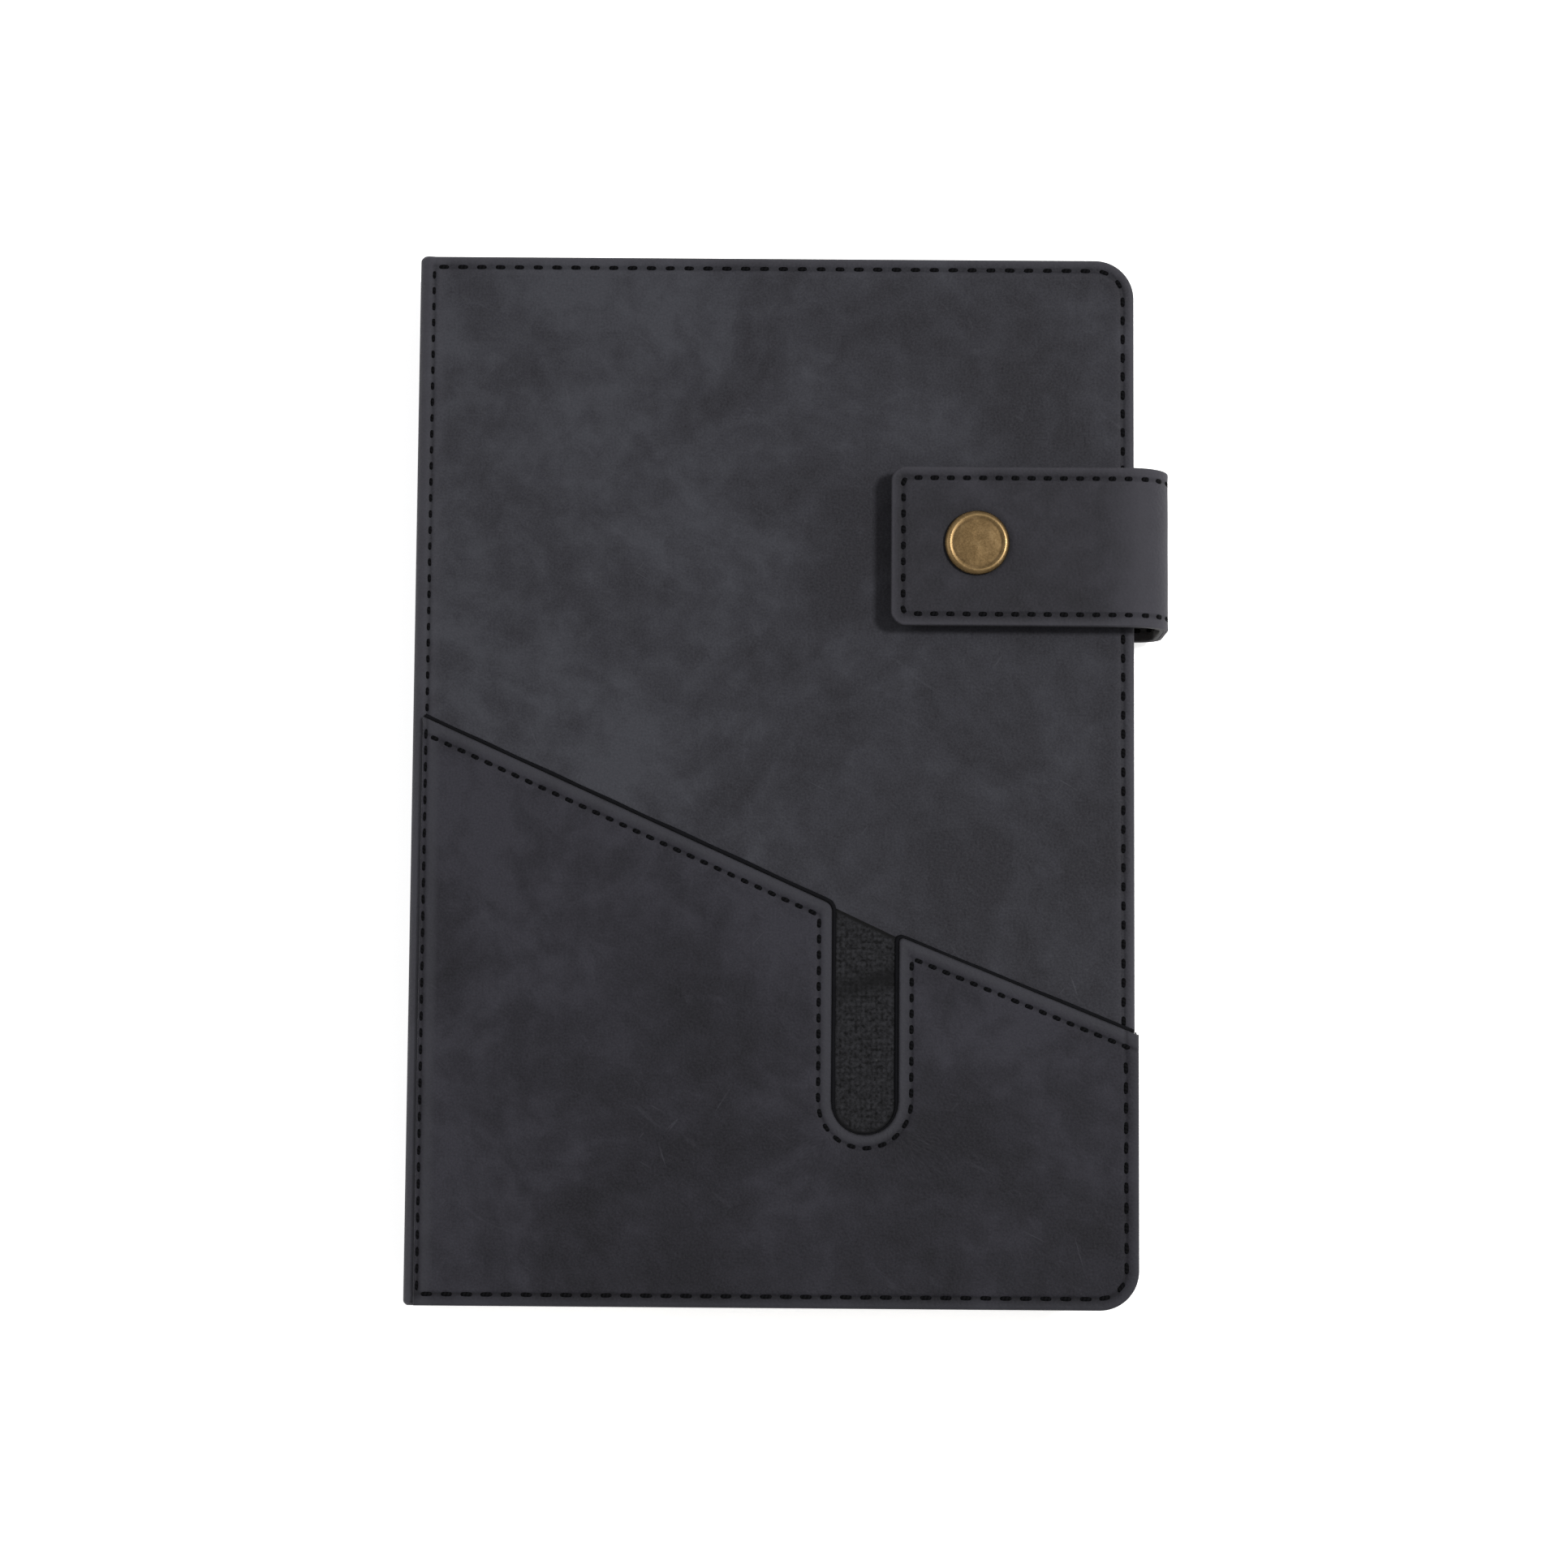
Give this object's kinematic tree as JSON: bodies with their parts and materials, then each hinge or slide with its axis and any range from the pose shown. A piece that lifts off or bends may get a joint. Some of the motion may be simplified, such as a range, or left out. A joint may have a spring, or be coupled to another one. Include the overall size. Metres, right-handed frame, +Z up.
{
  "type": "notebook cover",
  "caption": "A5 leather notebook cover with a slash pocket, an elastic pen notch, inside sleeves, a slip-in paper refill and a wide snap strap round the fore edge.",
  "frame": {"origin": "bottom centre of the closed cover's bounding box, strap included, as it lies on its back panel", "axes": "+Z up, from the back panel to the front panel; +Y from tail to head; +X from the spine to the fore edge"},
  "size_m": [0.1546, 0.215, 0.0269],
  "materials": {
    "cover_leather": "matt, finely grained, slightly mottled like suede",
    "pocket_leather": "matt, finely grained, a little darker than the upper panel",
    "strap_leather": "matt, finely grained, paler where it bends",
    "lining": "fine matt woven lining",
    "inner_leather": "smooth matt leather",
    "elastic": "woven elastic with fine cross ribs",
    "board": "grey-brown stiffener board",
    "paper": "uncoated ivory paper",
    "refill_card": "kraft card",
    "snap_brass": "antiqued, satin, brighter on the rim",
    "spring_steel": "bright wire"
  },
  "bodies": {
    "back": {"back_leather": "cover_leather", "back_board": "board", "back_lining": "lining", "back_sleeve": "inner_leather", "back_hinge_leather": "cover_leather", "strap_tail": "strap_leather", "refill_back_card": "refill_card", "refill_pages": "paper", "refill_spine_tape": "refill_card"},
    "spine": {"spine_leather": "cover_leather", "spine_board": "board", "spine_lining": "lining"},
    "front": {"front_hinge_leather": "cover_leather", "front_leather": "cover_leather", "front_board": "board", "front_lining": "lining", "slash_pocket": "pocket_leather", "pen_elastic": "elastic", "slip_pocket": "inner_leather", "card_slot_upper": "inner_leather", "card_slot_middle": "inner_leather", "card_slot_lower": "inner_leather", "snap_stud": "snap_brass", "snap_eyelet": "snap_brass"},
    "leaves_lower": {"leaves_lower": "paper"},
    "leaves_middle": {"leaves_middle": "paper"},
    "leaves_upper": {"leaves_upper": "paper"},
    "refill_card": {"refill_front_card": "refill_card"},
    "strap_side": {"strap_lower_bend": "strap_leather", "strap_side_leather": "strap_leather", "strap_side_lining": "lining"},
    "strap_tongue": {"strap_upper_bend": "strap_leather", "strap_tongue_leather": "strap_leather", "strap_tongue_lining": "lining", "snap_cap": "snap_brass", "snap_socket": "snap_brass", "snap_spring": "spring_steel"}
  },
  "joints": [
    {"name": "cover_open", "type": "hinge", "parent": "spine", "child": "front", "pos_m": [-0.07652, 0, 0.01982], "axis": [0, -1, 0], "range_deg": [0, 92], "deforming": ["front_hinge_leather"]},
    {"name": "spine_open", "type": "hinge", "parent": "back", "child": "spine", "pos_m": [-0.07652, 0, 0.00083], "axis": [0, -1, 0], "range_deg": [0, 86], "deforming": ["back_hinge_leather"]},
    {"name": "leaves_lower_turn", "type": "hinge", "parent": "back", "child": "leaves_lower", "pos_m": [-0.07395, 0, 0.01145], "axis": [0, -1, 0], "range_deg": [0, 102]},
    {"name": "leaves_middle_turn", "type": "hinge", "parent": "back", "child": "leaves_middle", "pos_m": [-0.07395, 0, 0.01145], "axis": [0, -1, 0], "range_deg": [0, 110]},
    {"name": "leaves_upper_turn", "type": "hinge", "parent": "back", "child": "leaves_upper", "pos_m": [-0.07395, 0, 0.01145], "axis": [0, -1, 0], "range_deg": [0, 120]},
    {"name": "card_turn", "type": "hinge", "parent": "back", "child": "refill_card", "pos_m": [-0.07395, 0, 0.01145], "axis": [0, -1, 0], "range_deg": [0, 132]},
    {"name": "strap_lift", "type": "hinge", "parent": "back", "child": "strap_side", "pos_m": [0.07555, 0.0468, 0.0024], "axis": [0, 1, 0], "range_deg": [0, 90], "deforming": ["strap_lower_bend"]},
    {"name": "strap_unsnap", "type": "hinge", "parent": "strap_side", "child": "strap_tongue", "pos_m": [0.07484, 0.0468, 0.02334], "axis": [0, 1, 0], "range_deg": [0, 88], "deforming": ["strap_upper_bend", "snap_spring"]}
  ],
  "couplings": [
    {"joint": "spine_open", "follows": "cover_open", "ratio": 0.93478},
    {"joint": "leaves_lower_turn", "follows": "cover_open", "ratio": 1.1087},
    {"joint": "leaves_middle_turn", "follows": "cover_open", "ratio": 1.1957},
    {"joint": "leaves_upper_turn", "follows": "cover_open", "ratio": 1.3043},
    {"joint": "card_turn", "follows": "cover_open", "ratio": 1.4348}
  ]
}
